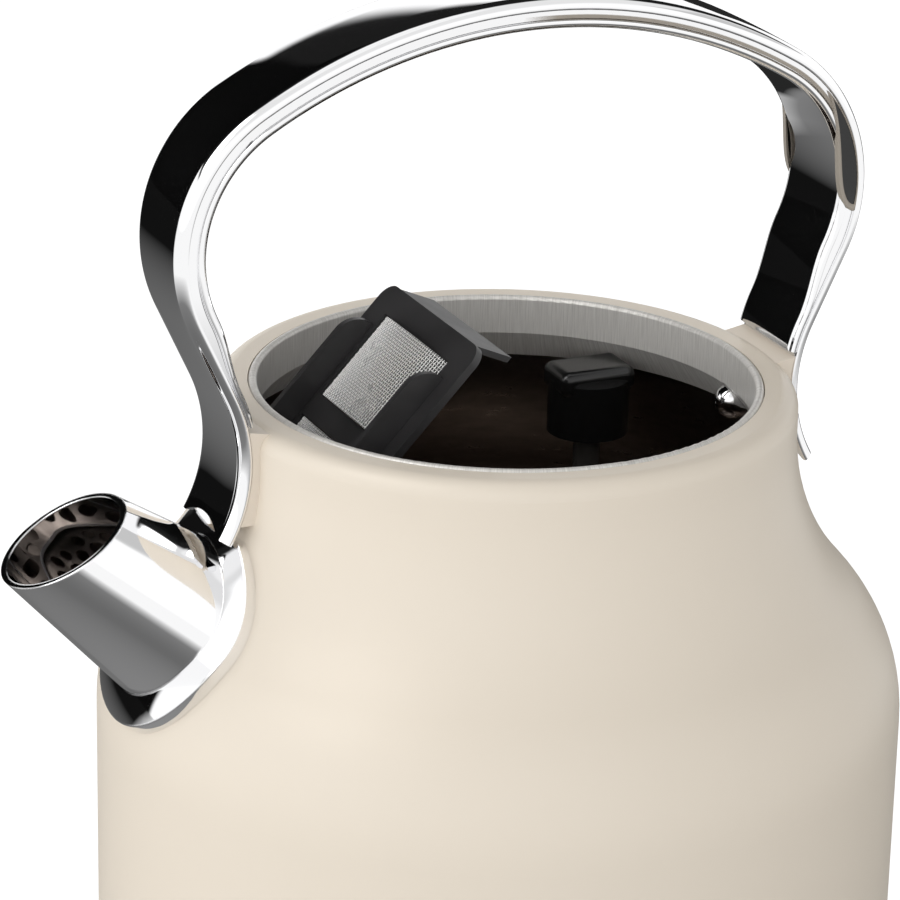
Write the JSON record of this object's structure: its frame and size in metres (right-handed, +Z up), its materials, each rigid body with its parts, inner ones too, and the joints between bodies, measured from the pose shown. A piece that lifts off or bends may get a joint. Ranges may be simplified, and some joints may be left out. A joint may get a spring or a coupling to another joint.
{
  "type": "electric kettle",
  "caption": "Open round-bodied electric kettle with a cone spout, an arched metal strap handle, a lift-out spout filter and a power base it lifts off.",
  "frame": {"origin": "centre of the power base on the surface it stands on, on the kettle's centre line", "axes": "+Z up along the centre line, -X towards the spout, the handle lies in the XZ plane"},
  "size_m": [0.2154, 0.1852, 0.2625],
  "materials": {
    "body_paint": "satin warm cream paint",
    "ring_steel": "fine brushed",
    "pot_steel": "plain drawn steel",
    "mirror_chrome": "mirror polished",
    "seal_rubber": "matt",
    "grip_cream": "satin cream",
    "pad_cream": "satin cream",
    "stud_steel": "plain",
    "nut_chrome": "bright",
    "tube_grey": "satin",
    "cap_black": "gloss",
    "filter_black": "gloss",
    "mesh_steel": "plain woven wire",
    "heat_aluminium": "cast",
    "element_steel": "dull",
    "inner_plastic": "matt",
    "black_plastic": "satin",
    "switch_plastic": "gloss",
    "lens_plastic": "clear tinted",
    "screw_steel": "plain",
    "contact_brass": "plated",
    "foot_rubber": "matt"
  },
  "bodies": {
    "base": {"base_housing": "black_plastic", "base_tray": "black_plastic", "base_screws": "screw_steel", "base_feet": "foot_rubber", "base_connector": "black_plastic", "centre_contact": "contact_brass", "contact_rings": "contact_brass", "cord_gland": "black_plastic"},
    "kettle": {"body_shell": "body_paint", "neck_ring": "ring_steel", "inner_pot": "pot_steel", "spout": "mirror_chrome", "spout_collar": "mirror_chrome", "spout_seal": "seal_rubber", "handle_outer_strap": "mirror_chrome", "handle_inner_strap": "mirror_chrome", "handle_grip_band": "grip_cream", "saddle_pads": "pad_cream", "handle_studs": "stud_steel", "handle_nuts": "nut_chrome", "steam_tube": "tube_grey", "steam_cap": "cap_black", "heat_plate": "heat_aluminium", "heating_element": "element_steel", "control_unit": "inner_plastic", "kettle_connector": "inner_plastic", "lower_trim": "mirror_chrome", "base_skirt": "black_plastic", "bottom_cover": "black_plastic", "cover_screws": "screw_steel", "switch_bracket": "inner_plastic", "switch_pin": "screw_steel", "filter_seat": "cap_black"},
    "filter": {"filter_frame": "filter_black", "filter_mesh": "mesh_steel"},
    "switch": {"switch_lever": "switch_plastic", "indicator_lens": "lens_plastic"}
  },
  "joints": [
    {"name": "kettle_lift", "type": "slide", "parent": "base", "child": "kettle", "axis": [0, 0, 1], "range_m": [0, 0.12]},
    {"name": "filter_lift", "type": "slide", "parent": "kettle", "child": "filter", "axis": [0.6871, 0, 0.7266], "range_m": [0, 0.055]},
    {"name": "switch_press", "type": "hinge", "parent": "kettle", "child": "switch", "pos_m": [0.076, 0, 0.027], "axis": [0, 1, 0], "range_deg": [0, 10]}
  ]
}
